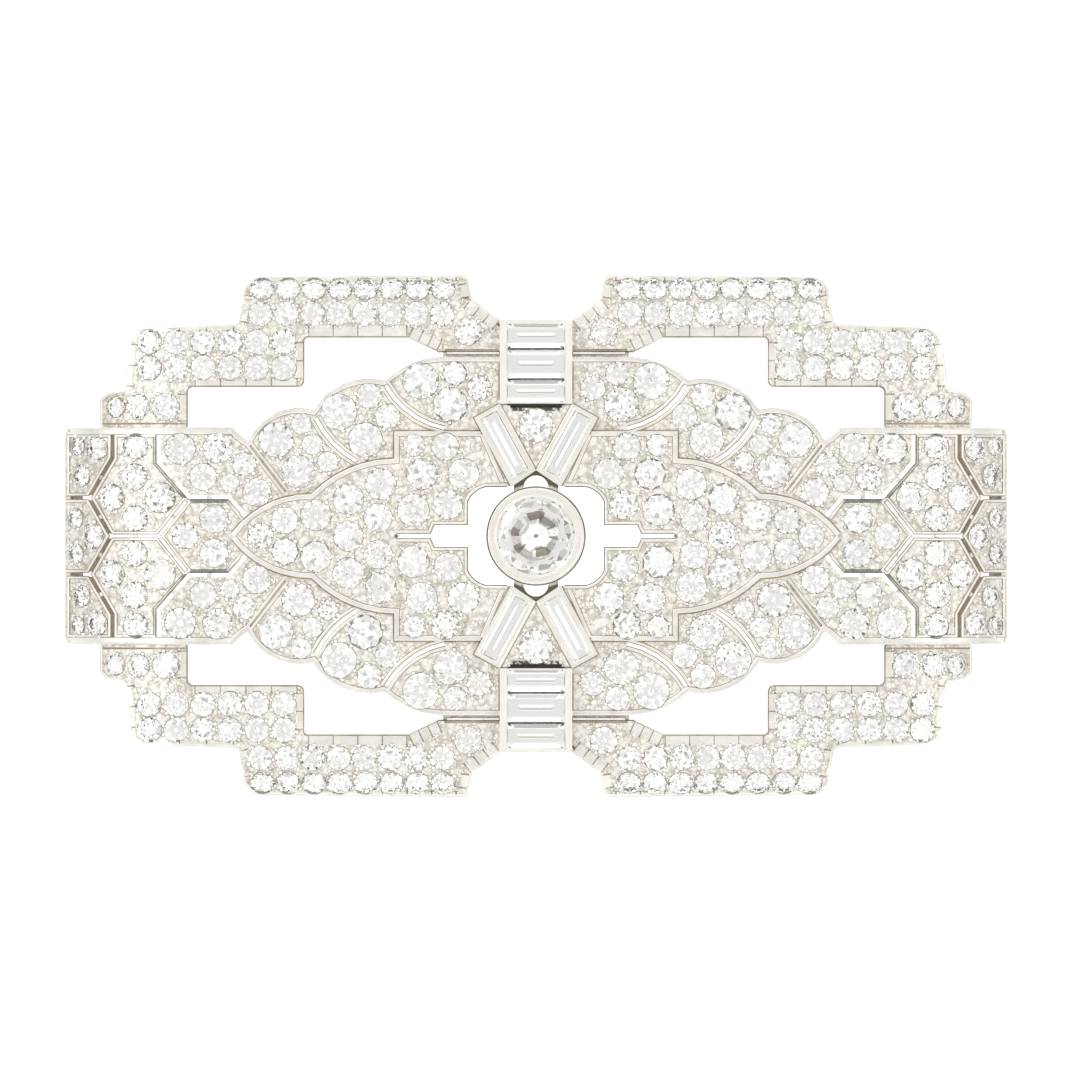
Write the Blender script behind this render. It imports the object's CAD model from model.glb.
import math
import random

import bpy
import numpy as np
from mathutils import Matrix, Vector


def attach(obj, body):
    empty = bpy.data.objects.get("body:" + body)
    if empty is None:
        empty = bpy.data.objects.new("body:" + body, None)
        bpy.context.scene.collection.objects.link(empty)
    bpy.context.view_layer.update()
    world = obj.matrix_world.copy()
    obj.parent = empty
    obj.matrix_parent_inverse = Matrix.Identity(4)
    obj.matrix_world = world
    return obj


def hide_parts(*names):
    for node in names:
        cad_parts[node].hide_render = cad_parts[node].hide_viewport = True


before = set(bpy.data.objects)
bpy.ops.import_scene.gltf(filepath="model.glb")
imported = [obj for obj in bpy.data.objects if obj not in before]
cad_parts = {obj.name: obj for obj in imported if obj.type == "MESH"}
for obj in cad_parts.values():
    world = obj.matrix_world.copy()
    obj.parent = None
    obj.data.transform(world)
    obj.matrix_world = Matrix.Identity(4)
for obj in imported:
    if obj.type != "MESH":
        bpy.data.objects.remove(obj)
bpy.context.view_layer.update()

# Sizes in millimetres, as in the part's source
MM = 0.001
HALF_L, HALF_W = 32.0, 7.35
PANEL_Z, FRAME_Z, ARROW_Z, TRIANGLE_Z = 5.0, 4.4, 5.6, 5.75
CHEVRON_Z, BAR_Z, COLLET_Z = 6.0, 6.2, 6.9
CURL_START, CURL_R, CURL_LEAD = 24.4, 10.5, math.radians(3)
CURL_X = CURL_START - CURL_R * math.sin(CURL_LEAD)
CURL_Z = PANEL_Z - CURL_R * math.cos(CURL_LEAD)
SLOPE_START, SLOPE_TILT = 15.9, math.radians(26)
SLOT_W, CRESCENT_W = 0.34, 0.3
CHEVRON_MID, CHEVRON_TURN = (2.12, 6.22), math.radians(-28.6)

# Stones of the right upper quarter: x, y, diameter
ARROW_STONES = [
    (4.9, 4.2, 2.1), (5.95, 2.1, 1.95), (7.72, 4.2, 2.1), (8.3, 1.75, 2.15), (6.15, 6.05, 1.9),
    (8.25, 6.15, 1.5), (10.5, 3.5, 2.1), (10.7, 1.25, 1.95), (12.7, 2.5, 2.1), (14.9, 1.4, 2.1),
    (17.0, 1.05, 1.8), (12.7, 0, 2.05), (18.65, 0, 1.75)]
FAN_STONES = [
    (7.8, 10.5, 2.45), (5.8, 8.9, 2.35), (5.5, 11.0, 1.6), (3.85, 10.0, 1.65), (13.35, 8.4, 2.45),
    (11.3, 9.5, 1.7), (10.05, 8.1, 1.7), (11.55, 6.5, 2.35), (17.6, 6.5, 2.35), (15.9, 7.6, 1.4),
    (15.15, 6.2, 1.4), (16.1, 4.35, 2.25), (14.1, 5.0, 1.4)]
END_STONES = [
    (21.8, 1.15, 1.95), (27.1, 6.07, 1.72), (27.2, 4.0, 1.8), (28.75, 2.6, 1.85), (25.45, 2.6, 2.1),
    (27.15, 1.2, 1.75), (29.75, 5.95, 1.6), (31.12, 6.1, 1.3), (30.85, 4.1, 1.5), (31.25, 1.2, 1.4),
    (24.1, 5.9, 2.1), (21.55, 5.95, 2.05), (22.55, 4.0, 1.85), (19.75, 4.85, 1.6), (20.75, 3.6, 1.3),
    (18.9, 2.95, 1.9), (23.75, 0, 1.75), (30.05, 0, 1.75)]
FRAME_ROWS = [  # first x, y, pitch, count, diameter
    (6.3, 16.75, 1.75, 8, 1.66), (6.35, 15.05, 1.76, 8, 1.66), (17.1, 13.15, 1.82, 6, 1.68),
    (17.1, 11.4, 1.82, 6, 1.68), (4.6, 13.85, 1, 1, 1.85), (25.1, 8.75, 1, 1, 1.85),
    (26.95, 8.8, 1, 1, 1.6), (28.5, 8.75, 1, 1, 1.4)]
# y and width of the bars' stones
BAR_STONES = [(9.77, 1.55), (11.63, 1.94), (13.56, 1.68)]
BAR_STONE_L, CHEVRON_STONE = 3.97, (1.38, 4.62)
ROUND_MID, ROUND_D = 7.5, 2.3   # the round stones in the triangles


# Places on the brooch's faces

def curled(x, z):
    """Height and tilt of a face that is flat at height z and curls at its ends."""
    a = abs(x)
    if a <= CURL_START:
        return z, 0.0
    r = math.hypot(CURL_START - CURL_X, z - CURL_Z)
    t = math.asin(min((a - CURL_X) / r, 0.999))
    return CURL_Z + r * math.cos(t), math.copysign(t, x)


def face(x, y, kind):
    """Point on a face, and the matrix whose columns are its two tangents and its normal."""
    if kind == "frame" and abs(y) > SLOPE_START:
        s = math.copysign(1, y)
        h = FRAME_Z - (abs(y) - SLOPE_START) * math.tan(SLOPE_TILT)
        c, n = math.cos(SLOPE_TILT), math.sin(SLOPE_TILT)
        return np.array([x, y, h]), np.array([[1, 0, 0], [0, c, s * n], [0, -s * n, c]], float)
    z = {"panel": PANEL_Z, "frame": FRAME_Z, "arrow": ARROW_Z, "triangle": TRIANGLE_Z,
         "chevron": CHEVRON_Z, "bar": BAR_Z, "collet": COLLET_Z}[kind]
    h, t = curled(x, z)
    c, s = math.cos(t), math.sin(t)
    return np.array([x, y, h]), np.array([[c, 0, s], [0, 1, 0], [-s, 0, c]], float)


class Shape:
    """Vertices and faces of one piece, in millimetres."""

    def __init__(self):
        self.v, self.f, self.n = [], [], 0

    def add(self, verts, faces):
        self.v.append(np.asarray(verts, float))
        self.f += [tuple(i + self.n for i in f) for f in faces]
        self.n += len(verts)

    def put(self, verts, faces, origin, axes):
        self.add(np.asarray(verts) @ axes.T + origin, faces)


def make(name, shape, material, smooth=False, replaces=()):
    mesh = bpy.data.meshes.new(name)
    mesh.from_pydata((np.vstack(shape.v) * MM).tolist(), [], shape.f)
    mesh.validate()
    mesh.update()
    mesh.polygons.foreach_set("use_smooth", [smooth] * len(mesh.polygons))
    mesh.materials.append(material)
    obj = bpy.data.objects.new(name, mesh)
    bpy.context.scene.collection.objects.link(obj)
    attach(obj, "root")
    if replaces:
        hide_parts(*replaces)


# Cut stones

GIRDLE = 0.025           # height of a round stone's girdle, over its diameter


def round_cut(d, table, crown, pavilion, star, half, culet, inner=0.0, flat=1.0):
    """Old-cut brilliant: table, 8 stars, 8 kites, 16 upper and 16 lower halves, 8 mains, culet.
    Its girdle's foot is at z = 0. The mains turn flatter inside the radius inner, by the factor flat."""
    r, g = d / 2, GIRDLE * d
    rt, rs, rl, rc = table * r, star * r, half * r, culet * r
    hc, hp = g + crown * d, -pavilion * d
    slope = (hc - g) / (r - rt)
    c = math.cos(math.pi / 8)
    ring = lambda rad, z, n, off: [
        (rad * math.cos(2 * math.pi * k / n + off), rad * math.sin(2 * math.pi * k / n + off), z)
        for k in range(n)]
    v = ring(rt, hc, 8, 0)                                     # 0 table
    v += ring(rs, g + (r - rs * c) * slope, 8, math.pi / 8)    # 8 star points
    v += ring(r, g, 16, 0)                                     # 16 girdle, top
    v += ring(r, 0, 16, 0)                                     # 32 girdle, foot
    v += ring(rl, hp * (1 - rl * c / r), 8, math.pi / 8)       # 48 lower half points
    ri = max(inner * r, rc)
    hi = hp * (1 - ri * c / r)
    v += ring(ri, hi, 8, math.pi / 8)                          # 56 break of the mains
    v += ring(rc, hi + hp * (ri - rc) * c / r * flat, 8, math.pi / 8)   # 64 culet
    f = [tuple(range(8))]
    for k in range(8):
        k1, g0, g1, g2 = (k + 1) % 8, 2 * k, 2 * k + 1, (2 * k + 2) % 16
        s0, s1 = (k - 1) % 8, k
        f += [(k, 8 + s0, 16 + g0, 8 + s1), (k, 8 + s1, k1)]
        f += [(8 + s1, 16 + g0, 16 + g1), (8 + s1, 16 + g1, 16 + g2)]
        f += [(16 + g0, 32 + g0, 32 + g1, 16 + g1), (16 + g1, 32 + g1, 32 + g2, 16 + g2)]
        f += [(32 + g0, 48 + s1, 32 + g1), (32 + g1, 48 + s1, 32 + g2)]
        f += [(32 + g0, 48 + s0, 56 + s0, 56 + s1, 48 + s1)]
        if ri > rc:
            f.append((56 + s0, 64 + s0, 64 + s1, 56 + s1))
    foot = 64 if ri > rc else 56
    f.append(tuple(foot + k for k in range(7, -1, -1)))
    return np.array(v), f


def step_cut(w, l, top=0.16):
    """Straight baguette, w by l, with three steps above and three below its girdle."""
    n = min(w, l)
    girdle = 0.05
    rise = top - girdle
    rings = [  # height, how far the long sides lie in, how far the ends lie in
        (-0.5 * n, 0.497 * n, 0.5 * n), (-0.4 * n, 0.385 * n, 0.4 * n), (-0.22 * n, 0.2 * n, 0.22 * n),
        (0, 0, 0), (girdle, 0, 0), (girdle + 0.3 * rise, 0.07 * n, 0.01 * n),
        (girdle + 0.7 * rise, 0.17 * n, 0.02 * n), (top, 0.29 * n, 0.03 * n)]
    v = []
    for z, side, end in rings:
        ix, iy = (end, side) if w > l else (side, end)
        v += [(sx * (w / 2 - ix), sy * (l / 2 - iy), z) for sx, sy in ((-1, -1), (1, -1), (1, 1), (-1, 1))]
    f = [(3, 2, 1, 0)]
    for q in range(len(rings) - 1):
        for k in range(4):
            a, b = 4 * q + k, 4 * q + (k + 1) % 4
            f.append((a, b, b + 4, a + 4))
    last = 4 * (len(rings) - 1)
    f.append((last, last + 1, last + 2, last + 3))
    return np.array(v), f


def turned(angle, tilt_x=0.0, tilt_y=0.0):
    ca, sa = math.cos(angle), math.sin(angle)
    rz = np.array([[ca, -sa, 0], [sa, ca, 0], [0, 0, 1]])
    cx, sx, cy, sy = math.cos(tilt_x), math.sin(tilt_x), math.cos(tilt_y), math.sin(tilt_y)
    rx = np.array([[1, 0, 0], [0, cx, -sx], [0, sx, cx]])
    ry = np.array([[cy, 0, sy], [0, 1, 0], [-sy, 0, cy]])
    return rx @ ry @ rz


rng = random.Random(7)

# Ranges of the small round stones' proportions: table, star, half and culet over the radius, the rest over the
# diameter
TABLE, STAR, HALF, CULETS = (0.46, 0.6), (0.72, 0.8), (0.35, 0.65), (0.02, 0.05)
CROWN, PAVILION = (0.13, 0.17), (0.43, 0.455)
STEEPEST_CROWN = 0.34    # a steeper one shows a dark ring in its table
STONE_TIP, STONE_RISE = math.radians(2.5), 0.03


def set_round(shape, x, y, d, kind):
    o, m = face(x, y, kind)
    table = rng.uniform(*TABLE)
    crown = min(rng.uniform(*CROWN), STEEPEST_CROWN * (1 - table))
    v, f = round_cut(d, table, crown, rng.uniform(*PAVILION), rng.uniform(*STAR), rng.uniform(*HALF),
                     rng.choice(CULETS))
    spin = turned(rng.uniform(0, math.pi), rng.uniform(-STONE_TIP, STONE_TIP), rng.uniform(-STONE_TIP, STONE_TIP))
    shape.put(v, f, o + m[:, 2] * STONE_RISE, m @ spin)


def twins(stones, sx):
    """Stones of one end, each with its mirror image below unless it lies on the middle line."""
    return [(sx * x, sy * y, d) for x, y, d in stones for sy in ((1,) if y == 0 else (1, -1))]


FRAME_STONES = [(x + i * p, y, d) for x, y, p, n, d in FRAME_ROWS for i in range(n)]


# Procedural materials

class Nodes:
    """A short way to write the node tree of a material or of the world."""

    def __init__(self, owner, space="Object"):
        owner.use_nodes = True
        self.owner, self.t = owner, owner.node_tree
        self.bsdf = self.t.nodes.get("Principled BSDF")
        self.coord = self.new("ShaderNodeTexCoord").outputs[space]

    def new(self, kind, **props):
        n = self.t.nodes.new(kind)
        for k, v in props.items():
            setattr(n, k, v)
        return n

    def link(self, a, b):
        self.t.links.new(a, b)

    def noise(self, per_mm, detail=3.0, rough=0.55, stretch=(1, 1, 1)):
        m = self.new("ShaderNodeMapping")
        m.inputs["Scale"].default_value = [1000 * per_mm * s for s in stretch]
        self.link(self.coord, m.inputs["Vector"])
        n = self.new("ShaderNodeTexNoise")
        n.inputs["Scale"].default_value = 1.0
        n.inputs["Detail"].default_value = detail
        n.inputs["Roughness"].default_value = rough
        self.link(m.outputs[0], n.inputs["Vector"])
        return n.outputs["Fac"]

    def cells(self, per_mm, feature="F1", warp=0.0):
        m = self.new("ShaderNodeMapping")
        m.inputs["Scale"].default_value = [1000 * per_mm] * 3
        self.link(self.coord, m.inputs["Vector"])
        if warp:
            wave = self.new("ShaderNodeTexNoise")
            wave.inputs["Scale"].default_value = 1.3
            self.link(m.outputs[0], wave.inputs["Vector"])
            push = self.new("ShaderNodeVectorMath", operation="SCALE")
            push.inputs["Scale"].default_value = 2 * warp
            self.link(wave.outputs["Color"], push.inputs[0])
            moved = self.new("ShaderNodeVectorMath", operation="ADD")
            self.link(m.outputs[0], moved.inputs[0])
            self.link(push.outputs[0], moved.inputs[1])
            m = moved
        n = self.new("ShaderNodeTexVoronoi", feature=feature)
        n.inputs["Scale"].default_value = 1.0
        self.link(m.outputs[0], n.inputs["Vector"])
        return n.outputs["Distance"]

    def ramp(self, fac, stops):
        n = self.new("ShaderNodeValToRGB")
        e = n.color_ramp.elements
        while len(e) < len(stops):
            e.new(0.5)
        for k, (pos, col) in enumerate(stops):
            e[k].position = pos
            e[k].color = (*col, 1)
        self.link(fac, n.inputs["Fac"])
        return n.outputs["Color"]

    def span(self, fac, lo, hi, to_lo, to_hi):
        n = self.new("ShaderNodeMapRange")
        for k, v in zip((1, 2, 3, 4), (lo, hi, to_lo, to_hi)):
            n.inputs[k].default_value = v
        self.link(fac, n.inputs[0])
        return n.outputs[0]

    def math(self, op, a, b=0):
        n = self.new("ShaderNodeMath", operation=op)
        for s, v in zip(n.inputs, (a, b)):
            if isinstance(v, (int, float)):
                s.default_value = v
            else:
                self.link(v, s)
        return n.outputs[0]

    def times(self, first, *rest):
        for value in rest:
            first = self.math("MULTIPLY", first, value)
        return first

    def less(self, value, part=1.0):
        """1 minus a part of the value."""
        return self.math("SUBTRACT", 1.0, value if part == 1.0 else self.times(value, part))

    def over(self, value, lo, hi):
        """Mask that rises from 0 at lo to 1 at hi, or falls where hi is below lo; both in millimetres."""
        return self.span(value, lo * MM, hi * MM, 0, 1) if lo < hi else self.span(value, hi * MM, lo * MM, 1, 0)

    def xyz(self, vector):
        split = self.new("ShaderNodeSeparateXYZ")
        self.link(vector, split.inputs[0])
        return split.outputs

    def mix(self, fac, a, b):
        n = self.new("ShaderNodeMix", data_type="RGBA")
        self.link(fac, n.inputs[0])
        for s, v in ((n.inputs[6], a), (n.inputs[7], b)):
            if isinstance(v, tuple):
                s.default_value = (*v, 1)
            else:
                self.link(v, s)
        return n.outputs[2]

    def bump(self, height, strength, distance_mm, under=None):
        n = self.new("ShaderNodeBump")
        n.inputs["Strength"].default_value = strength
        n.inputs["Distance"].default_value = distance_mm * MM
        self.link(height, n.inputs["Height"])
        if under is not None:
            self.link(under, n.inputs["Normal"])
        return n.outputs["Normal"]


def material(name):
    return Nodes(bpy.data.materials.new(name))


# Colours of the mount
BED = [(0.4, (0.58, 0.56, 0.515)), (0.6, (0.78, 0.765, 0.725)), (0.85, (0.89, 0.875, 0.845))]
CRACK = (0.36, 0.31, 0.235)
PLAIN = [(0.3, (0.84, 0.82, 0.775)), (0.7, (0.9, 0.885, 0.845))]
WALL = [(0.3, (0.56, 0.52, 0.46)), (0.7, (0.66, 0.62, 0.56))]
SLOT_WALL, RAIL = (0.92, 0.86, 0.77), (0.94, 0.93, 0.905)
SHADE, SHADED_GROOVE = (0.22, 0.18, 0.125), (0.07, 0.065, 0.055)


def platinum_bed():
    """Mount: graver-cut bed between the stones, polished on the raised settings and the walls."""
    n = material("platinum_cut")
    b = n.bsdf
    x, y, z = n.xyz(n.coord)
    across, along_y = n.math("ABSOLUTE", x), n.math("ABSOLUTE", y)

    # faces that look up, or out of the curl; the ends' upright walls count as walls
    normal = n.xyz(n.new("ShaderNodeNewGeometry").outputs["Normal"])
    lean = n.math("DIVIDE", n.math("MAXIMUM", n.math("SUBTRACT", across, CURL_X * MM), 0.0), CURL_R * MM)
    lean = n.times(lean, n.math("SIGN", x))
    rise = n.math("SQRT", n.less(n.times(lean, lean)))
    upright = n.math("ADD", n.times(normal["X"], lean), n.times(normal["Z"], rise))
    flat = n.times(n.span(upright, 0.6, 0.72, 0, 1), n.over(across, HALF_L - 0.03, HALF_L - 0.07))
    high = n.over(z, 5.85, 5.9)
    cut = n.times(flat, n.less(high))

    # the bed: grains cut by a graver, with darker cracks
    fine, grain = n.noise(5.5, 4, 0.65), n.cells(2.7)
    speck = n.times(n.span(fine, 0.3, 0.7, 0.75, 1.15), n.span(grain, 0.15, 0.75, 1.0, 0.45))
    crack = n.span(n.cells(3.2, "DISTANCE_TO_EDGE", warp=0.35), 0.03, 0.1, 1, 0)
    crack = n.times(crack, n.span(n.noise(1.3, 2), 0.4, 0.6, 0.1, 0.8))
    bed = n.mix(crack, n.ramp(speck, BED), CRACK)

    # walls, with those of the curled ends' slots lighter, and the polished rails beside the bars
    slot = n.times(n.over(across, 25.3, 25.5), n.over(across, 31.9, 31.8), n.over(along_y, 6.95, 6.85), n.less(flat))
    wall = n.mix(slot, n.ramp(n.noise(1.2, 3), WALL), SLOT_WALL)
    surface = n.mix(flat, wall, n.ramp(n.noise(0.35, 2), PLAIN))
    rail = n.times(high, flat, n.over(along_y, 8.9, 8.95), n.over(across, 2.75, 2.7))
    surface = n.mix(rail, surface, RAIL)

    # shadow in the groove at each bar's foot, on its brink and on the saddle between collet and chevrons
    groove = n.times(n.over(along_y, 8.6, 8.62), n.over(along_y, 9.0, 8.98), n.over(across, 1.95, 1.9))
    foot = n.math("ADD", along_y, n.times(across, 0.675))
    radius = n.math("SQRT", n.math("ADD", n.times(across, across), n.times(along_y, along_y)))
    saddle = n.times(n.over(foot, 4.56, 4.53), n.over(along_y, 2.7, 2.75), n.over(radius, 3.48, 3.6))
    brink = n.times(n.over(along_y, 8.38, 8.5), n.over(across, 1.7, 1.55), cut,
                    n.span(n.noise(2.6, 2), 0.42, 0.5, 0.15, 1), n.over(along_y, 8.7, 8.66))
    deep = n.times(n.over(z, 5.5, 5.4), n.math("MAXIMUM", groove, saddle))
    shade = n.times(flat, n.math("MAXIMUM", deep, brink))
    shadow = n.mix(n.math("MAXIMUM", groove, brink), SHADE, SHADED_GROOVE)

    n.link(n.mix(shade, n.mix(cut, surface, bed), shadow), b.inputs["Base Color"])
    metal = n.times(n.span(flat, 0, 1, 0.75, 1.0), n.span(shade, 0, 1, 1.0, 0.3), n.span(slot, 0, 1, 1.0, 0.2))
    n.link(metal, b.inputs["Metallic"])
    n.link(n.math("ADD", n.times(cut, 0.1), n.span(n.noise(1.4, 3), 0.3, 0.7, 0.16, 0.28)), b.inputs["Roughness"])
    graver = n.bump(n.noise(7, 3, 0.6, (1, 0.35, 1)), 0.2, 0.015)
    heap = n.math("SUBTRACT", n.times(fine, 0.6), n.times(grain, 0.6))
    n.link(n.bump(n.times(heap, cut), 0.5, 0.08, graver), b.inputs["Normal"])
    return n.owner


def platinum_polished(name, tint=(0.9, 0.885, 0.85), rough=0.22, dark=None, per_mm=0.6):
    n = material(name)
    b = n.bsdf
    b.inputs["Metallic"].default_value = 1.0
    dark = dark or tuple(c * 0.88 for c in tint)
    n.link(n.ramp(n.noise(per_mm, 3), [(0.35, dark), (0.62, tint)]), b.inputs["Base Color"])
    n.link(n.span(n.noise(1.8, 3), 0.3, 0.7, rough * 0.7, rough * 1.5), b.inputs["Roughness"])
    n.link(n.bump(n.noise(6, 3, 0.6, (1, 0.3, 1)), 0.12, 0.015), b.inputs["Normal"])
    return n.owner


DIAMOND = [(0.3, (0.985, 0.99, 1.0)), (0.55, (1, 1, 1)), (0.72, (1.0, 0.99, 0.95))]
BELT = (0.2, 0.17, 0.125)


def diamond(name, rough=0.0, belted=None):
    """Diamond. With belted = (turn, inner, outer, top) the pavilion mains are shaded between two octagons, below
    the height top, each of their sectors by another share."""
    n = material(name)
    b = n.bsdf
    b.inputs["Transmission Weight"].default_value = 1.0
    b.inputs["IOR"].default_value = 2.417
    b.inputs["Roughness"].default_value = rough
    colour = n.ramp(n.noise(0.45, 1), DIAMOND)
    if belted:
        turn, inner, outer, top = belted
        reach = 0.0
        for k in range(4):
            a = turn + math.pi / 4 * k
            dot = n.new("ShaderNodeVectorMath", operation="DOT_PRODUCT")
            dot.inputs[1].default_value = (math.cos(a), math.sin(a), 0)
            n.link(n.coord, dot.inputs[0])
            reach = n.math("MAXIMUM", n.math("ABSOLUTE", dot.outputs["Value"]), reach)
        x, y, z = n.xyz(n.coord)
        sector = n.math("SUBTRACT", n.math("ARCTAN2", y, x), turn + math.pi / 16)
        pick = n.new("ShaderNodeTexWhiteNoise", noise_dimensions="1D")
        n.link(n.math("FLOOR", n.times(sector, 8 / math.pi)), pick.inputs["W"])
        belt = n.times(n.over(reach, inner, inner + 0.02), n.over(reach, outer, outer - 0.02),
                       n.over(z, top, top - 0.1), n.span(pick.outputs["Value"], 0.1, 0.8, 0.2, 1.0))
        colour = n.mix(belt, colour, BELT)
        n.link(belt, b.inputs["Metallic"])
    n.link(colour, b.inputs["Base Color"])
    return n.owner


bed_metal = platinum_bed()
rim_metal = platinum_polished("platinum_rims")
grain_metal = platinum_polished("platinum_grains", (0.88, 0.87, 0.84), 0.18)
pin_metal = platinum_polished("pin_plain", (0.82, 0.81, 0.78), 0.2)
gap_metal = platinum_polished("platinum_gaps", (0.3, 0.255, 0.19), 0.35, (0.16, 0.135, 0.095))
line_metal = platinum_polished("platinum_shadowed", (0.45, 0.395, 0.315), 0.35, (0.28, 0.235, 0.175))
seat_metal = platinum_polished("platinum_seats", (0.78, 0.74, 0.66), 0.35, (0.3, 0.26, 0.2), 0.9)
gem, step_gem = diamond("diamond"), diamond("diamond_steps", 0.03)
for name, metal in (("mount", bed_metal), ("pin", pin_metal)):
    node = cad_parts[name]
    node.data.materials.clear()
    node.data.materials.append(metal)


# Stones in their seats

ENDS, SIDES = ((-1, "left"), (1, "right")), ((-1, "lower"), (1, "upper"))
STEP_DROP = 0.1          # girdles of the step cuts, under the edges of their channels
CENTRE_D, CENTRE_TURN, CENTRE_Z = 5.4, math.radians(12), COLLET_Z - 0.27
BELT_IN, BELT_OUT, BELT_TOP = 1.08, 1.65, COLLET_Z - 0.4

for sx, end in ENDS:
    for group, stones, kind in (("arrow", ARROW_STONES, "arrow"), ("end", END_STONES, "panel")):
        s = Shape()
        for x, y, d in twins(stones, sx):
            set_round(s, x, y, d, kind)
        make(f"{group}_diamonds_{end}", s, gem, replaces=[f"{group}_stones_{end}"])
    for sy, side in SIDES:
        s = Shape()
        for x, y, d in FAN_STONES:
            set_round(s, sx * x, sy * y, d, "panel")
        make(f"fan_diamonds_{side}_{end}", s, gem, replaces=[f"fan_stones_{side}_{end}"])
        s = Shape()
        for x, y, d in FRAME_STONES:
            set_round(s, sx * x, sy * y, d, "frame")
        make(f"frame_diamonds_{side}_{end}", s, gem)
        s = Shape()
        o, m = face(sx * CHEVRON_MID[0], sy * CHEVRON_MID[1], "chevron")
        s.put(*step_cut(*CHEVRON_STONE), o - m[:, 2] * STEP_DROP, m @ turned(CHEVRON_TURN * sx * sy))
        make(f"chevron_diamond_{side}_{end}", s, step_gem, replaces=[f"chevron_baguette_{side}_{end}"])

for sy, side in SIDES:
    for i, (mid, wide) in enumerate(BAR_STONES):
        s = Shape()
        o, m = face(0, sy * mid, "bar")
        s.put(*step_cut(BAR_STONE_L, wide - 0.015), o - m[:, 2] * STEP_DROP, m)
        make(f"bar_diamond_{side}_{i + 1}", s, step_gem, replaces=[f"bar_baguette_{side}_{i + 1}"])
    s = Shape()
    set_round(s, 0, sy * ROUND_MID, ROUND_D, "triangle")
    make(f"{side}_round_diamond", s, gem, replaces=[f"{side}_round"])

s = Shape()
v, f = round_cut(CENTRE_D, table=0.72, crown=0.05, pavilion=0.468, star=0.86, half=0.72, culet=0.06,
                 inner=0.38, flat=0.93)
s.put(v, f, np.array([0, 0, CENTRE_Z]), turned(CENTRE_TURN))
old_cut = diamond("diamond_old_cut", belted=(CENTRE_TURN, BELT_IN, BELT_OUT, BELT_TOP))
make("centre_old_cut", s, old_cut, replaces=["centre_diamond"])


# Grain beads between the stones

def bead(r, flat=0.8, rings=3, n=8):
    """Domed grain whose middle is at z = 0."""
    v, f = [(0, 0, r * flat)], []
    for i in range(1, rings + 1):
        t = math.pi * 0.62 * i / rings
        v += [(r * math.sin(t) * math.cos(2 * math.pi * k / n), r * math.sin(t) * math.sin(2 * math.pi * k / n),
               r * flat * math.cos(t)) for k in range(n)]
    for k in range(n):
        f.append((0, 1 + k, 1 + (k + 1) % n))
        for i in range(rings - 1):
            a, b = 1 + i * n + k, 1 + i * n + (k + 1) % n
            f.append((a, a + n, b + n, b))
    f.append(tuple(1 + (rings - 1) * n + k for k in range(n - 1, -1, -1)))
    return np.array(v), f


GRAIN, GRAINS_TRIED = 0.15, 8


def grains(shape, stones, kind, limit):
    """Low beads round each stone where no other stone and no edge is in the way."""
    placed = []
    for x, y, d in stones:
        phase = rng.uniform(0, math.pi)
        for k in range(GRAINS_TRIED):
            a = phase + 2 * math.pi * k / GRAINS_TRIED
            a += rng.uniform(-0.2, 0.2)
            r = d / 2 + GRAIN * 0.45
            px, py = x + r * math.cos(a), y + r * math.sin(a)
            if (not limit(px, py)
                    or any(math.hypot(px - u, py - w) < e / 2 + GRAIN * 0.3 for u, w, e in stones if (u, w) != (x, y))
                    or any(math.hypot(px - u, py - w) < GRAIN * 2.3 for u, w in placed)):
                continue
            placed.append((px, py))
            o, m = face(px, py, kind)
            v, f = bead(GRAIN * rng.uniform(0.7, 1.3), 0.6)
            shape.put(v, f, o + m[:, 2] * STONE_RISE, m @ turned(rng.uniform(0, 3)))


SEAT_LINE = ((0.002, -0.03), (0.004, 0.025), (0.03, 0.02), (0.04, -0.02))   # distance from the girdle, height


def seat_line(shape, x, y, d, kind, sides=24):
    """Shadowed edge of a seat, a narrow closed ring round the girdle."""
    o, m = face(x, y, kind)
    v, f, rings = [], [], len(SEAT_LINE)
    for out, z in SEAT_LINE:
        r = d / 2 + out
        v += [(r * math.cos(2 * math.pi * k / sides), r * math.sin(2 * math.pi * k / sides), z)
              for k in range(sides)]
    for k in range(sides):
        for i in range(rings):
            a, b, up = i * sides + k, i * sides + (k + 1) % sides, ((i + 1) % rings - i) * sides
            f.append((a, a + up, b + up, b))
    shape.put(v, f, o, m)


def inside(poly, x, y):
    hit = False
    for (x0, y0), (x1, y1) in zip(poly, poly[1:] + poly[:1]):
        if (y0 > y) != (y1 > y) and x < (x1 - x0) * (y - y0) / (y1 - y0) + x0:
            hit = not hit
    return hit


def bowed(a, b, bow, step=8):
    """Points of the bowed side from a to b, without b."""
    if bow == 0:
        return [tuple(a)]
    a, b = np.array(a, float), np.array(b, float)
    chord = np.linalg.norm(b - a)
    u = (b - a) / chord
    n = np.array([-u[1], u[0]])
    r = chord / 2 * (1 + bow * bow) / (2 * bow)
    mid = (a + b) / 2 + n * (chord / 2 * bow - r)
    turn = 2 * math.atan(bow)
    steps = math.ceil(abs(2 * math.degrees(turn)) / step)
    return [tuple(mid + r * (math.sin(t) * u + math.cos(t) * n))
            for t in (turn * (2 * i / steps - 1) for i in range(steps))]


def drawn(edge):
    pts = []
    for (x, y, bow), (x1, y1, _) in zip(edge, edge[1:]):
        pts += bowed((x, y), (x1, y1), bow)
    return pts + [edge[-1][:2]]


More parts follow.
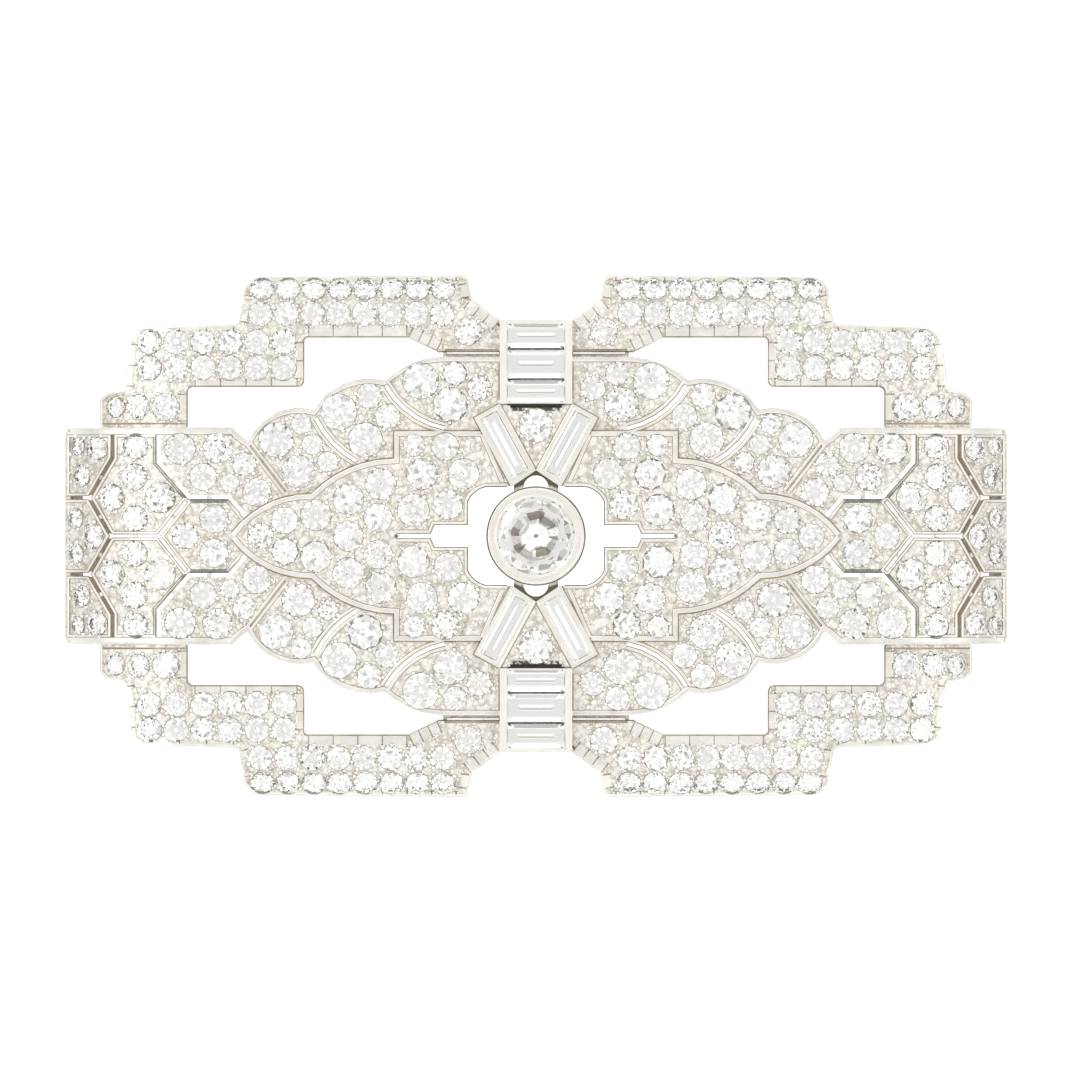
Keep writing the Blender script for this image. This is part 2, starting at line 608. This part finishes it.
# Outlines in the right upper quarter: x, y and the bow of the side that starts there
SCALLOPS = [(2.45, 12.15, 0), (6.5, 12.15, 0.17), (10.3, 10.55, 0.32), (15.1, 8.55, 0.36), (19.55, 6.45, -0.1),
            (20.6, HALF_W, 0), (31.5, HALF_W, 0)]
ARROW_TOP = [(3.75, 7.1, 0), (9.6, 7.1, 0), (9.6, 5.25, 0.2), (15.2, 2.85, 0.24), (20.6, 0.2, 0)]
ARROW_WINDOW = [(1.95, 3.37, 0), (3.4, 3.35, 0.25), (4.65, 2.3, 0), (4.65, 0.78, 0), (6.9, 0.78, 0), (7.15, 0.19, 0),
                (9.4, 0.19, 0)]
FRAME_OUT = [(2.3, 14.5, 0), (3.3, 15.15, 0), (4.45, 16.1, 0), (4.65, 17.2, 0.35), (5.0, 17.6, 0),
             (18.7, 17.45, 0.4), (19.75, 16.4, 0), (20.1, 14.5, 0), (20.4, 14.25, 0), (26.0, 14.1, 0.4),
             (27.5, 13.1, 0), (27.8, 10.1, 0), (28.0, 9.85, 0), (29.1, 9.6, 0), (29.5, 9.2, 0), (29.5, 7.4, 0)]
FRAME_IN = [(23.7, 7.4, 0), (23.7, 9.7, -0.414), (23.2, 10.2, 0), (16.15, 10.2, 0.414), (15.8, 10.55, 0),
            (15.8, 13.2, -0.414), (15.45, 13.55, 0), (8.7, 13.55, -0.225), (6.6, 12.55, 0), (2.3, 12.55, 0)]
CRESCENTS = [((10.2, 10.25), (6.2, 7.3), 0.22), ((14.9, 7.95), (12.2, 5.1), 0.153)]

arrow_poly = drawn(ARROW_TOP) + [(x, -y) for x, y in reversed(drawn(ARROW_TOP))]
window_poly = drawn(ARROW_WINDOW) + [(9.4, 0), (0, 0), (0, 4.45), (1.6, 3.37)]
panel_poly = drawn(SCALLOPS) + [(32, 6.85), (32, 0), (2.45, 0)]
frame_poly = drawn(FRAME_OUT) + drawn(FRAME_IN)


def clear_of(path, x, y, gap):
    p = np.array(path)
    a, b = p[:-1], p[1:]
    ab = b - a
    q = np.array([x, y]) - a
    t = np.clip((q * ab).sum(1) / (ab * ab).sum(1), 0, 1)
    return np.hypot(*(q - ab * t[:, None]).T).min() > gap


# Straight lines in the right upper quarter
CHEVRON_INSIDE = [(0.03, 4.5), (2.42, 8.88)]
CHEVRON_OUTSIDE = [(1.73, 3.42), (3.72, 7.1), (4.2, 8.0), (2.5, 8.93)]
END_RIM = [(20.7, HALF_W), (31.6, HALF_W)]
HONEYCOMB = [  # the slots between the cells
    ((28.7, 6.7), (28.7, 5.3)), ((28.7, 5.3), (30.3, 2.6)), ((30.3, 2.6), (31.45, 2.6)), ((30.3, 2.6), (28.8, 0)),
    ((25.6, 6.7), (25.6, 5.0)), ((25.6, 5.0), (23.5, 2.6)), ((23.5, 2.6), (20.8, 2.6)), ((20.8, 2.6), (19.8, 1.45)),
    ((23.5, 2.6), (25.55, 0)), ((25.55, 0), (28.8, 0))]
crescent_paths = [bowed(a, b, bow, 10) + [b] for a, b, bow in CRESCENTS]
scallop_path, arrow_path, window_path = drawn(SCALLOPS), drawn(ARROW_TOP), drawn(ARROW_WINDOW)
frame_in_path, frame_out_path = drawn(FRAME_IN), drawn(FRAME_OUT)


def on_panel(x, y):
    x, y = abs(x), abs(y)
    return (inside(panel_poly, x, y) and not inside(arrow_poly, x, y) and x < 31.75
            and clear_of(scallop_path, x, y, 0.45) and clear_of(arrow_path, x, y, 0.15)
            and all(clear_of(c, x, y, 0.42) for c in crescent_paths)
            and all(clear_of(run, x, y, 0.42) for run in HONEYCOMB))


def on_arrow(x, y):
    x, y = abs(x), abs(y)
    return (inside(arrow_poly, x, y) and not inside(window_poly, x, y) and clear_of(arrow_path, x, y, 0.42)
            and clear_of(window_path, x, y, 0.3))


def on_triangle(x, y):
    return 4.9 < abs(y) < 8.6 and abs(x) < (abs(y) - 4.5) * 0.545 - 0.2


def on_frame(x, y):
    x, y = abs(x), abs(y)
    return (inside(frame_poly, x, y) and clear_of(frame_out_path, x, y, 0.4)
            and clear_of(frame_in_path, x, y, 0.4))


for sx, end in ENDS:
    s, low = Shape(), Shape()
    for stones, kind, limit in ((twins(FAN_STONES, sx) + twins(END_STONES, sx), "panel", on_panel),
                                (twins(ARROW_STONES, sx), "arrow", on_arrow),
                                ([(0, sx * ROUND_MID, ROUND_D)], "triangle", on_triangle),
                                (twins(FRAME_STONES, sx), "frame", on_frame)):
        grains(s, stones, kind, limit)
        for x, y, d in stones:
            seat_line(low, x, y, d, kind)
    make(f"grains_{end}", s, grain_metal, smooth=True)
    make(f"seat_lines_{end}", low, seat_metal, smooth=True)


# Rims, ridges and milled edges

def resampled(path, longest):
    out = []
    for a, b in zip(path, path[1:]):
        n = max(1, math.ceil(math.dist(a, b) / longest))
        out += [(a[0] + (b[0] - a[0]) * i / n, a[1] + (b[1] - a[1]) * i / n) for i in range(n)]
    return out + [tuple(path[-1])]


def mitres(path, closed):
    p = np.array(path, float)
    n = len(p)
    out = []
    for i in range(n):
        prev = p[i - 1] if i or closed else None
        nxt = p[(i + 1) % n] if i < n - 1 or closed else None
        normals = []
        for a, b in ((prev, p[i]), (p[i], nxt)):
            if a is not None and b is not None:
                u = (b - a) / np.linalg.norm(b - a)
                normals.append(np.array([-u[1], u[0]]))
        m = sum(normals)
        m = m / np.linalg.norm(m)
        out.append(m / max(0.5, float(m @ normals[0])))
    return p, np.array(out)


def narrowed(q, w, width, stones, gap=0.02, least=0.15):
    """How much a rim of this width at point q has to shrink to stay clear of the stones on its right."""
    w = -w / np.linalg.norm(w)
    room = width
    for x, y, d in stones:
        to = np.array([x, y]) - q
        along = float(w @ to)
        off = float(to @ to) - along * along
        if along > 0 and off < d * d / 4:
            room = min(room, along - math.sqrt(d * d / 4 - off) - gap)
    return max(room, least * width) / width


def ribbon(shape, path, profile, kind, sx=1, sy=1, closed=False, longest=0.7, stones=()):
    """Sweeps a profile of (offset to the left, rise) along a path of the right upper quarter."""
    path = resampled(path + path[:1] if closed else path, longest)
    if closed:
        path = path[:-1]
    p, m = mitres(path, closed)
    v, k = [], len(profile)
    width = -min(off for off, rise in profile)
    for q, w in zip(p, m):
        shrink = narrowed(q, w, width, stones) if stones else 1
        for off, rise in profile:
            x, y = (q + w * off * shrink) * (sx, sy)
            o, axes = face(x, y, kind)
            v.append(o + axes[:, 2] * rise)
    n, f = len(p), []
    flip = sx * sy < 0
    for i in range(n if closed else n - 1):
        for j in range(k):
            a, b = i * k + j, i * k + (j + 1) % k
            c, d = ((i + 1) % n) * k + (j + 1) % k, ((i + 1) % n) * k + j
            f.append((a, d, c, b) if flip else (a, b, c, d))
    if not closed:
        first, last = tuple(range(k)), tuple((n - 1) * k + j for j in range(k))
        f += [first if flip else first[::-1], last[::-1] if flip else last]
    shape.add(v, f)


def rounded(inner, outer, rise, foot=-0.05, edge=0.05):
    """Profile with softened shoulders between two offsets."""
    e = min(edge, abs(outer - inner) / 3) * (1 if outer > inner else -1)
    p = [(inner, foot), (inner, rise * 0.55), (inner + e * 0.4, rise * 0.9), (inner + e, rise),
         (outer - e, rise), (outer - e * 0.4, rise * 0.9), (outer, rise * 0.55), (outer, foot)]
    return p[::-1] if outer > inner else p


def strip(lo, hi, rise=0.02, foot=-0.05, rise_hi=None):
    """Flat profile between two offsets, whose top may slope."""
    return [(hi, foot), (hi, rise if rise_hi is None else rise_hi), (lo, rise), (lo, foot)]


def mill(shape, path, offset, kind, sx, sy, r=0.075, pitch=0.16, rise=0.07):
    """A row of small beads along a rim."""
    p, m = mitres(resampled(path, 0.5), False)
    q = p + m * offset
    length = np.concatenate([[0], np.cumsum(np.hypot(*np.diff(q, axis=0).T))])
    v, f = bead(r, 0.9, 2, 6)
    for t in np.arange(pitch, length[-1], pitch):
        x, y = np.interp(t, length, q[:, 0]) * sx, np.interp(t, length, q[:, 1]) * sy
        o, axes = face(x, y, kind)
        shape.put(v, f, o + axes[:, 2] * rise, axes)


def lined(shape, lines, path, inner, outer, rise, kind, sx, sy, closed=False, sides=(True, True), stones=()):
    """A polished rim with a fine dark line along its feet."""
    step = 0.3 if stones else 0.7
    ribbon(shape, path, rounded(inner, outer, rise), kind, sx, sy, closed, step, stones)
    lo, hi = min(inner, outer), max(inner, outer)
    for wanted, at in zip(sides, ((lo - 0.045, lo + 0.01), (hi - 0.01, hi + 0.045))):
        if wanted:
            ribbon(lines, path, strip(*at, 0.014, -0.03), kind, sx, sy, closed, step, stones)


CLOSED_CELLS = [
    [(28.7, 7.0), (31.98, 7.0), (31.98, 2.6), (30.3, 2.6), (28.7, 5.3)],
    [(25.6, 7.0), (28.7, 7.0), (28.7, 5.3), (30.3, 2.6), (28.8, 0), (25.55, 0), (23.5, 2.6), (25.6, 5.0)]]
OPEN_CELLS = [  # and the side of the slot that the rim is on
    ([(19.75, 1.3), (20.8, 2.6), (23.5, 2.6), (25.6, 5.0), (25.6, 7.0)], -1),
    ([(25.55, 0.0), (23.5, 2.6), (20.8, 2.6), (19.9, 1.6)], 1),
    ([(28.8, 0.0), (30.3, 2.6), (31.9, 2.6)], -1)]
SLOT_SIDE = SLOT_W / 2 - 0.025
CELL_RIM = 0.15
CHEVRON_HALF = np.array([0.72, 2.34])

chevron_box = [tuple(np.array(CHEVRON_MID) + turned(CHEVRON_TURN)[:2, :2] @ (CHEVRON_HALF * corner))
               for corner in ((-1, -1), (1, -1), (1, 1), (-1, 1))]

gaps, lips = Shape(), Shape()
# the collet's two lips and the gap round it: inner radius, width, rise
for shape, r, w, rise in ((lips, 2.62, 0.2, 0.05), (lips, 3.1, 0.17, 0.035), (gaps, 3.28, 0.06, -0.06)):
    circle = [(r * math.cos(math.radians(a)), r * math.sin(math.radians(a))) for a in range(360, 0, -6)]
    ribbon(shape, circle, rounded(0, w, rise, foot=-0.3, edge=0.06), "collet", closed=True)
make("collet_lips", lips, rim_metal, smooth=True)

for sx, end in ENDS:
    s, g, low = Shape(), Shape(), Shape()
    ribbon(gaps, [chevron_box[3], chevron_box[0]], strip(0.1, 0.16, 0.03, -0.04), "chevron", sx, 1)
    for sy in (-1, 1):
        lined(s, low, scallop_path[:-1], -0.34, -0.01, 0.09, "panel", sx, sy, sides=(True, False),
              stones=FAN_STONES + END_STONES)
        lined(s, low, END_RIM, -0.47, -0.01, 0.08, "panel", sx, sy, sides=(True, False), stones=END_STONES)
        mill(g, scallop_path[:-1], -0.11, "panel", sx, sy)
        mill(g, END_RIM, -0.1, "panel", sx, sy)
        lined(s, low, arrow_path, -0.34, -0.01, 0.07, "arrow", sx, sy, sides=(True, False), stones=ARROW_STONES)
        ribbon(low, arrow_path, strip(0.0, 0.09), "panel", sx, sy)
        lined(s, low, window_path, 0.01, 0.2, 0.06, "arrow", sx, sy, sides=(False, True))
        ribbon(gaps, window_path, strip(-0.04, 0.015, 0.0, -0.9, 0.03), "arrow", sx, sy)
        ribbon(low, frame_in_path, strip(0.03, 0.11, 0.045, -0.5, 0.0), "frame", sx, sy)
        ribbon(s, frame_out_path, rounded(-0.1, 0.1, 0.06, foot=-0.4, edge=0.08), "frame", sx, sy, longest=0.35)
        for path in crescent_paths:
            lined(s, low, path, CRESCENT_W / 2 + 0.01, CRESCENT_W / 2 + 0.22, 0.1, "panel", sx, sy)
            lined(s, low, path, -CRESCENT_W / 2 - 0.22, -CRESCENT_W / 2 - 0.01, 0.1, "panel", sx, sy)
        for cell in CLOSED_CELLS:
            lined(s, low, cell, -SLOT_SIDE - CELL_RIM, -SLOT_SIDE, 0.07, "panel", sx, sy, closed=True)
        for cell, to in OPEN_CELLS:
            lo, hi = sorted((to * SLOT_SIDE, to * (SLOT_SIDE + CELL_RIM)))
            lined(s, low, cell, lo, hi, 0.07, "panel", sx, sy)
        lined(s, low, [(2.42, 3.62), (3.8, 6.8)], 0.02, 0.3, 0.06, "arrow", sx, sy)
        for off in (-0.16, 0.16):
            lined(s, low, [(19.45, 6.25), (16.95, 3.0)], off - 0.1, off + 0.1, 0.13, "panel", sx, sy)
        ribbon(s, chevron_box, rounded(-0.05, 0.12, 0.05, foot=-0.12, edge=0.03), "chevron", sx, sy, closed=True)
        ribbon(s, CHEVRON_INSIDE, rounded(-0.13, 0.02, 0.06, foot=-0.3, edge=0.03), "chevron", sx, sy)
        ribbon(low, CHEVRON_INSIDE, strip(0.02, 0.09), "triangle", sx, sy)
        ribbon(low, CHEVRON_OUTSIDE[:2], strip(-0.08, 0.0), "arrow", sx, sy)
        ribbon(low, CHEVRON_OUTSIDE[1:], strip(-0.08, 0.0), "panel", sx, sy)
        ribbon(s, [(2.03, 8.99), (2.03, 14.5)], rounded(-0.05, 0.12, 0.06, foot=-0.12, edge=0.03), "bar", sx, sy)
        for across in ([(0, 9.0), (2.03, 9.0)], [(2.03, 14.41), (0, 14.41)]):
            ribbon(s, across, rounded(-0.03, 0.07, 0.04, foot=-0.12, edge=0.03), "bar", sx, sy)
        # solder seams beside the column and under the frames' feet
        ribbon(low, [(2.5, 9.3), (2.5, 12.0)], strip(-0.05, 0.05, 0.03, 0.0), "panel", sx, sy)
        for seam in ([(2.5, 12.62), (6.2, 12.62)], [(23.75, 7.62), (29.4, 7.62)]):
            ribbon(low, seam, strip(-0.06, 0.06, 0.03, 0.0), "frame", sx, sy)
        ribbon(s, [(2.5, 12.38), (6.05, 12.38)], rounded(-0.09, 0.09, 0.07), "frame", sx, sy)
    make(f"rims_{end}", s, rim_metal)
    make(f"milled_edges_{end}", g, grain_metal, smooth=True)
    make(f"rim_lines_{end}", low, line_metal)
for sx in (-1, 1):
    # dark tip of the window's slot, and a gap beside the column in two opposite corners
    o, axes = face(sx * 9.46, 0, "arrow")
    v, f = bead(0.14, 0.4)
    gaps.put(v, f, o + axes[:, 2] * 0.02, axes)
    ribbon(gaps, [(2.45, 14.22), (2.78, 14.58)], strip(-0.09, 0.09, 0.03, -0.3), "frame", sx, -sx)
make("dark_gaps", gaps, gap_metal)


# Fishtail walls of the stepped frames

PRONG = 0.11
RUNS = [  # ends of a straight edge, the pitch of the stones beside it, the depth of its tabs
    ((5.42, 17.6), (18.7, 17.45), 1.75, 0.2), ((20.5, 14.25), (26.0, 14.1), 1.82, 0.25),
    ((19.8, 16.3), (20.1, 14.55), 1.75, 0.45), ((27.5, 13.0), (27.8, 10.2), 1.78, 0.45),
    ((2.5, 14.6), (4.4, 16.05), 0.8, 0.7), ((15.4, 13.55), (8.75, 13.55), 1.76, 0.6),
    ((23.1, 10.2), (16.2, 10.2), 1.82, 0.35), ((15.8, 10.65), (15.8, 13.1), 1.3, 0.45),
    ((8.6, 13.5), (6.7, 12.6), 0.7, 0.7), ((23.7, 7.8), (23.7, 9.6), 1.8, 0.45),
    ((4.47, 16.2), (4.63, 17.1), 0.9, 0.5)]


def wall_tab(deep):
    """Profile of one tab between two grooves."""
    return [(-0.1, -0.2), (0.09, -0.2), (0.06, 0.01), (0.0, 0.05), (-deep + 0.06, 0.05), (-deep, 0.02),
            (-deep, -0.04)]


TAB_GAP = 0.04           # from a tab to the middle of the groove beside it
FOLD_GAP = 0.04          # share of a groove left out on both sides of the fold, so that its solid isn't twisted


def cut_at_fold(p, q):
    """The line from p to q, in two parts where it crosses the fold at SLOPE_START."""
    if (p[1] - SLOPE_START) * (q[1] - SLOPE_START) >= 0:
        return [[tuple(p), tuple(q)]]
    t = (SLOPE_START - p[1]) / (q[1] - p[1])
    return [[tuple(p), tuple(p + (q - p) * (t - FOLD_GAP))], [tuple(p + (q - p) * (t + FOLD_GAP)), tuple(q)]]


for sx, end in ENDS:
    s, g, low = Shape(), Shape(), Shape()
    for sy in (-1, 1):
        for a, b, pitch, deep in RUNS:
            a, b = np.array(a), np.array(b)
            length = np.linalg.norm(b - a)
            u = (b - a) / length
            n = np.array([-u[1], u[0]])
            count = max(1, round(length / pitch))
            for i in range(count):
                p0 = a + u * (length * i / count + TAB_GAP)
                p1 = a + u * (length * (i + 1) / count - TAB_GAP)
                ribbon(s, [tuple(p0), tuple(p1)], wall_tab(deep), "frame", sx, sy, longest=3)
            for i in range(count + 1):
                q = a + u * (length * i / count)
                for part in cut_at_fold(q - n * (deep + 0.12), q + n * 0.06):
                    ribbon(low, part, strip(-0.035, 0.035, 0.056, -1.2), "frame", sx, sy, longest=3)
                for side in (-1, 1):
                    x, y = (q - n * (deep + 0.02) + u * side * 0.13) * (sx, sy)
                    o, axes = face(x, y, "frame")
                    v, f = bead(PRONG)
                    g.put(v, f, o + axes[:, 2] * 0.05, axes)
    make(f"frame_walls_{end}", s, rim_metal)
    make(f"frame_prongs_{end}", g, grain_metal, smooth=True)
    make(f"frame_grooves_{end}", low, line_metal)


# Floor, light and camera

def floor():
    n = material("floor_white")
    n.bsdf.inputs["Roughness"].default_value = 0.9
    n.bsdf.inputs["Specular IOR Level"].default_value = 0.1
    n.link(n.ramp(n.noise(0.002, 2), [(0.3, (0.955, 0.955, 0.95)), (0.7, (0.965, 0.965, 0.96))]),
           n.bsdf.inputs["Base Color"])
    n.bsdf.inputs["Emission Color"].default_value = (1, 1, 1, 1)
    path = n.new("ShaderNodeLightPath")
    n.link(path.outputs["Is Camera Ray"], n.bsdf.inputs["Emission Strength"])
    mesh = bpy.data.meshes.new("floor")
    half = 1.5
    mesh.from_pydata([(x * half, y * half, -0.05 * MM) for x, y in ((-1, -1), (1, -1), (1, 1), (-1, 1))],
                     [], [(0, 1, 2, 3)])
    mesh.materials.append(n.owner)
    obj = bpy.data.objects.new("floor", mesh)
    bpy.context.scene.collection.objects.link(obj)


def card(name, place, look, side, power):
    light = bpy.data.lights.new(name, "AREA")
    light.shape, light.size, light.energy = "SQUARE", side, power
    obj = bpy.data.objects.new(name, light)
    obj.location = place
    obj.rotation_euler = (Vector(look) - Vector(place)).to_track_quat("-Z", "Y").to_euler()
    bpy.context.scene.collection.objects.link(obj)


def studio():
    """White tent with a few dark gaps and bright panels round the zenith."""
    world = bpy.data.worlds.new("studio")
    bpy.context.scene.world = world
    n = Nodes(world, "Generated")
    z = n.xyz(n.coord)["Z"]
    cloud = n.new("ShaderNodeTexNoise")
    cloud.inputs["Scale"].default_value = 4.5
    cloud.inputs["Detail"].default_value = 1.0
    n.link(n.coord, cloud.inputs["Vector"])
    patch = cloud.outputs["Fac"]
    off_top = n.times(n.span(z, 0.982, 0.965, 0, 1), n.span(z, 0.2, 0.4, 0, 1))
    dark = n.times(n.span(patch, 0.42, 0.38, 0, 1), off_top)
    bright = n.times(n.span(patch, 0.56, 0.6, 0, 1), off_top)
    ring = n.times(n.span(z, 0.978, 0.972, 0, 1), n.span(z, 0.925, 0.932, 0, 1))
    level = n.math("SUBTRACT", n.span(z, 0.7, 0.78, 0.95, 1.3), n.span(z, 0.93, 0.98, 0, 0.36))
    level = n.math("ADD", n.times(level, n.less(dark, 0.5)), n.times(bright, 0.7))
    level = n.times(level, n.less(ring, 0.1))
    seen = n.math("MAXIMUM", level, n.new("ShaderNodeLightPath").outputs["Is Camera Ray"])
    back = n.t.nodes["Background"]
    n.link(seen, back.inputs["Strength"])
    back.inputs["Color"].default_value = (1, 0.985, 0.955, 1)


floor()
studio()
card("softbox", (-0.35, 0.3, 0.7), (0, 0, 0), 0.3, 0.5)

# The photo looks straight down. Its middle lies a little off the brooch's.
PHOTO_W, EYE_HEIGHT, SENSOR_W = 1080 * 0.068 * MM, 1.2, 36
camera = bpy.data.cameras.new("camera")
camera.sensor_width = SENSOR_W
camera.lens = SENSOR_W * EYE_HEIGHT / PHOTO_W
camera.clip_end = 10
eye = bpy.data.objects.new("camera", camera)
eye.location = (0.27 * MM, -0.27 * MM, EYE_HEIGHT)
bpy.context.scene.collection.objects.link(eye)
bpy.context.scene.camera = eye
bpy.context.scene.view_settings.view_transform = "Standard"
